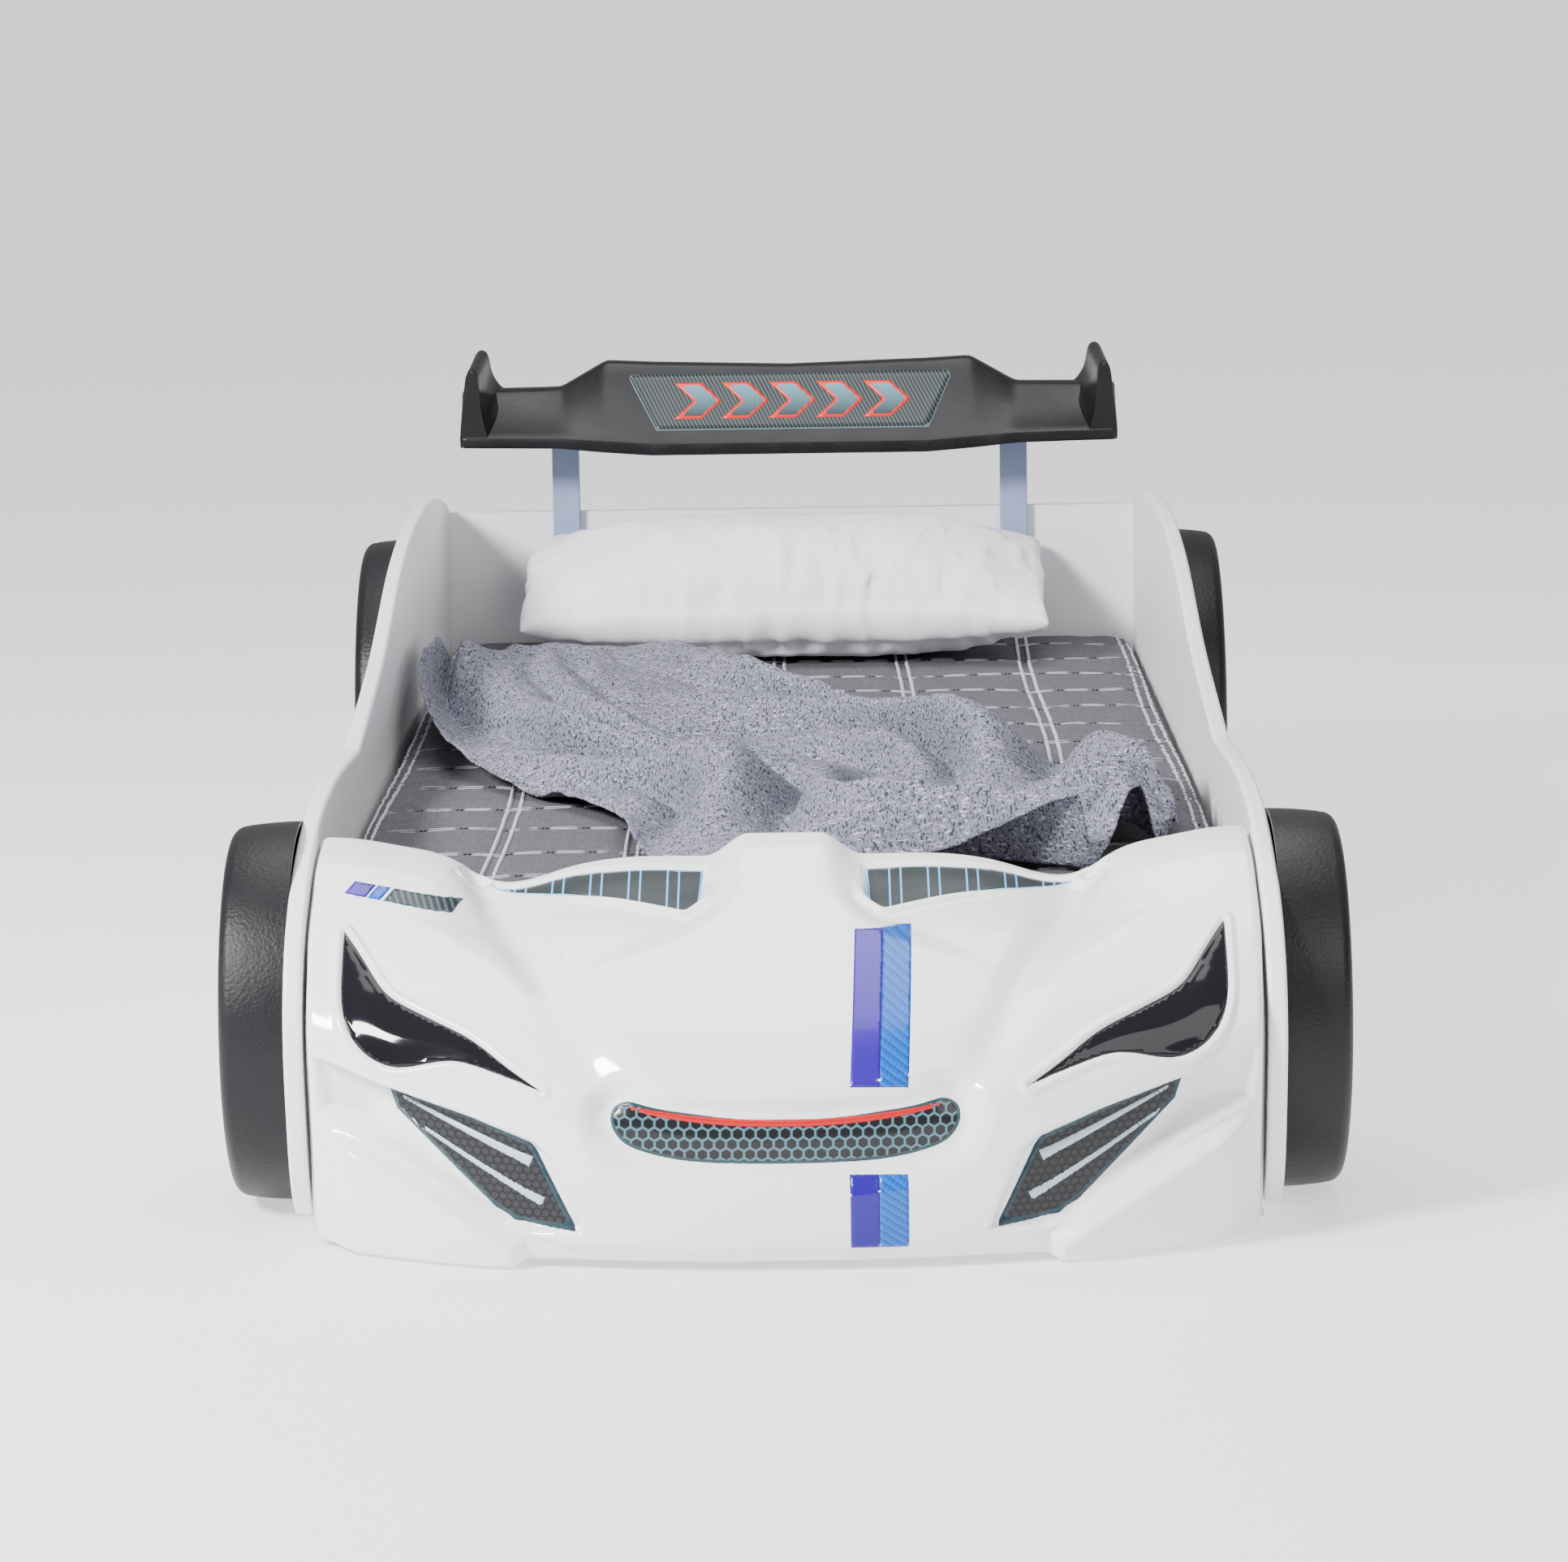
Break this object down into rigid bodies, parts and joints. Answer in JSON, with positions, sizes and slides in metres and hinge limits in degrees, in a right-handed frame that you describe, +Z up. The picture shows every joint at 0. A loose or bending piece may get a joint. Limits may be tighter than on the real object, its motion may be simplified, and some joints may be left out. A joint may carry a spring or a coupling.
{
  "type": "toddler bed",
  "caption": "Race-car child's bed: boarded sides, gloss moulded nose with lamps and grille, wheel covers, rear wing, slat base, mattress, quilted bedspread, pillow, knitted throw.",
  "frame": {"origin": "on the floor under the middle of the overall box", "axes": "+X across the bed, to the right as seen from the nose; +Y towards the headboard; +Z up. The nose points to -Y."},
  "size_m": [1.08, 2.3342, 0.687],
  "materials": {
    "white_board": "satin white foil over MDF",
    "gloss_white_abs": "gloss vacuum-formed ABS",
    "black_moulded_plastic": "grained satin",
    "silver_painted_plastic": "silver paint",
    "smoked_acrylic": "gloss smoked",
    "printed_grille_film": "gloss printed film",
    "red_film": "gloss printed film",
    "violet_film": "gloss printed film",
    "blue_film": "gloss printed film with twill",
    "grey_painted_metal": "powder coat",
    "pine": "planed",
    "zinc_steel": "zinc plated",
    "mattress_fabric": "knitted ticking",
    "grey_quilt": "quilted cotton with white stitching",
    "white_cotton": "washed cotton",
    "grey_knit": "melange knit"
  },
  "bodies": {
    "frame": {"bracket_screws": "zinc_steel", "centre_beam": "pine", "centre_leg_front": "pine", "centre_leg_rear": "pine", "corner_brackets": "zinc_steel", "floor_glides": "black_moulded_plastic", "footboard": "white_board", "grille_panel": "printed_grille_film", "grille_trim": "red_film", "headboard": "white_board", "headlight_left": "smoked_acrylic", "headlight_right": "smoked_acrylic", "hood_screws": "zinc_steel", "hood_shell": "gloss_white_abs", "intake_panel_left": "printed_grille_film", "intake_panel_right": "printed_grille_film", "post_screws": "zinc_steel", "rail_screws": "zinc_steel", "rim_front_left": "silver_painted_plastic", "rim_front_right": "silver_painted_plastic", "rim_rear_left": "silver_painted_plastic", "rim_rear_right": "silver_painted_plastic", "side_badge": "blue_film", "side_panel_left": "white_board", "side_panel_right": "white_board", "slat_01": "pine", "slat_02": "pine", "slat_03": "pine", "slat_04": "pine", "slat_05": "pine", "slat_06": "pine", "slat_07": "pine", "slat_08": "pine", "slat_09": "pine", "slat_10": "pine", "slat_11": "pine", "slat_12": "pine", "slat_13": "pine", "slat_rail_left": "pine", "slat_rail_right": "pine", "slat_screws": "zinc_steel", "stripe_blue": "blue_film", "stripe_violet": "violet_film", "tyre_front_left": "black_moulded_plastic", "tyre_front_right": "black_moulded_plastic", "tyre_rear_left": "black_moulded_plastic", "tyre_rear_right": "black_moulded_plastic", "vent_left": "printed_grille_film", "vent_right": "printed_grille_film", "wheel_screws": "zinc_steel", "wing": "black_moulded_plastic", "wing_panel": "printed_grille_film", "wing_post_left": "grey_painted_metal", "wing_post_right": "grey_painted_metal", "wing_screws": "zinc_steel"},
    "mattress_body": {"mattress": "mattress_fabric", "bedspread": "grey_quilt"},
    "pillow_body": {"pillow": "white_cotton"},
    "throw_body": {"throw": "grey_knit"}
  },
  "joints": [
    {"name": "mattress_lift", "type": "slide", "parent": "frame", "child": "mattress_body", "axis": [0, 0, 1], "range_m": [0, 0.045]},
    {"name": "pillow_lift", "type": "slide", "parent": "mattress_body", "child": "pillow_body", "axis": [0, 0, 1], "range_m": [0, 0.03]},
    {"name": "throw_lift", "type": "slide", "parent": "mattress_body", "child": "throw_body", "axis": [0, 0, 1], "range_m": [0, 0.25]}
  ]
}
